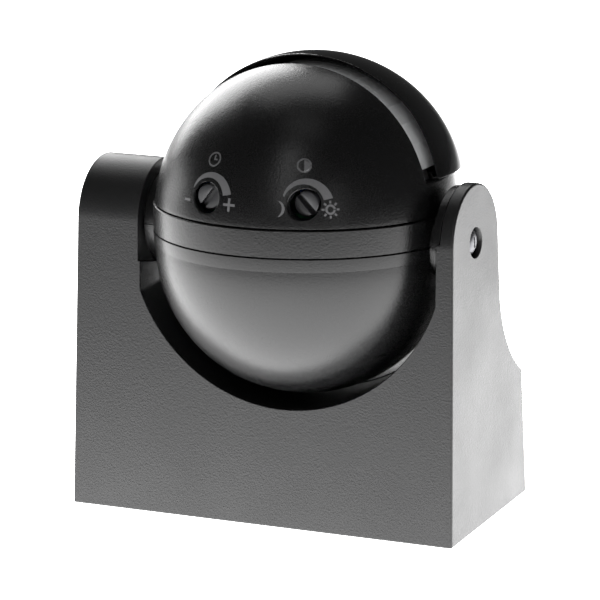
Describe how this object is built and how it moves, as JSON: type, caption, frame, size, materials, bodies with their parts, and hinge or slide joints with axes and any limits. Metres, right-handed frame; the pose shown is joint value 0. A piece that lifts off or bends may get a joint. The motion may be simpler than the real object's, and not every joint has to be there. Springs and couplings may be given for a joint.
{
  "type": "motion sensor",
  "caption": "Wall-mounted passive infrared motion sensor: a ball head with an arched strip lens, hood and two slotted setting dials, tilting in a U-shaped cradle.",
  "frame": {"origin": "middle of the wall plate's back face, which lies on the wall at Z = 0", "axes": "+X to the right seen from the dial side, +Y towards the hood (up when hung on a wall), +Z away from the wall through the ball"},
  "size_m": [0.09, 0.0691, 0.0996],
  "materials": {
    "cradle": "black ABS, fine spark-eroded grain",
    "head": "black ABS, light grain, semi-gloss",
    "bowl": "black ABS, smooth satin",
    "hood": "black ABS, polished",
    "lens": "milky polyethylene, facet lines",
    "inner": "black, as moulded",
    "plate": "black, as moulded",
    "rubber": "matt black",
    "terminal": "natural white nylon",
    "brass": "turned",
    "zinc": "bright zinc plate",
    "spring": "blackened spring steel",
    "nylon": "grey nylon",
    "lead_live": "brown PVC insulation",
    "lead_neutral": "blue PVC insulation",
    "lead_load": "red PVC insulation",
    "board": "green solder mask",
    "chip": "black epoxy",
    "sensor": "coated cell",
    "pot": "blue moulding",
    "dial": "grey moulding",
    "relay": "blue case",
    "film": "yellow case",
    "sleeve": "black sleeve"
  },
  "bodies": {
    "base": {"base_housing": "cradle", "wall_plate": "plate", "cable_grommet": "rubber", "terminal_body": "terminal", "terminal_clamp_1": "brass", "terminal_clamp_2": "brass", "terminal_clamp_3": "brass", "terminal_screw_1": "zinc", "terminal_screw_2": "zinc", "terminal_screw_3": "zinc", "lead_live": "lead_live", "lead_neutral": "lead_neutral", "lead_load": "lead_load", "lead_clip": "nylon"},
    "head": {"board_header": "terminal", "board_screw_1": "zinc", "board_screw_2": "zinc", "board_screw_3": "zinc", "board_spacer_1": "brass", "board_spacer_2": "brass", "board_spacer_3": "brass", "bowl_screw_1": "zinc", "bowl_screw_2": "zinc", "cable_trunnion": "nylon", "controller_chip": "chip", "dome_cover": "head", "film_capacitor": "film", "hood": "hood", "lead_connector": "terminal", "lens": "lens", "lens_frame": "inner", "light_sensor": "sensor", "lower_bowl": "bowl", "lux_pot_body": "pot", "main_board": "board", "pivot_nut": "brass", "power_board": "board", "pyro_sensor": "zinc", "relay": "relay", "smoothing_capacitor": "sleeve", "time_pot_body": "pot", "trunnion_circlip": "spring", "trunnion_o_ring": "rubber", "upper_housing": "head"},
    "time_dial": {"time_dial": "dial"},
    "lux_dial": {"lux_dial": "dial"},
    "clamp_screw": {"clamp_screw": "zinc"}
  },
  "joints": [
    {"name": "head_tilt", "type": "hinge", "parent": "base", "child": "head", "pos_m": [0.005, -0.0031, 0.0625], "axis": [1, 0, 0], "range_deg": [-45, 45]},
    {"name": "time_dial_turn", "type": "hinge", "parent": "head", "child": "time_dial", "pos_m": [-0.004, -0.03145, 0.0752], "axis": [0, -0.9982, 0.0593], "range_deg": [-135, 135]},
    {"name": "lux_dial_turn", "type": "hinge", "parent": "head", "child": "lux_dial", "pos_m": [0.0176, -0.03015, 0.07513], "axis": [0, -0.9982, 0.0593], "range_deg": [-135, 135]},
    {"name": "clamp_screw_turn", "type": "hinge", "parent": "base", "child": "clamp_screw", "pos_m": [0.0422, -0.0031, 0.0625], "axis": [1, 0, 0], "range_deg": [0, 180]}
  ]
}
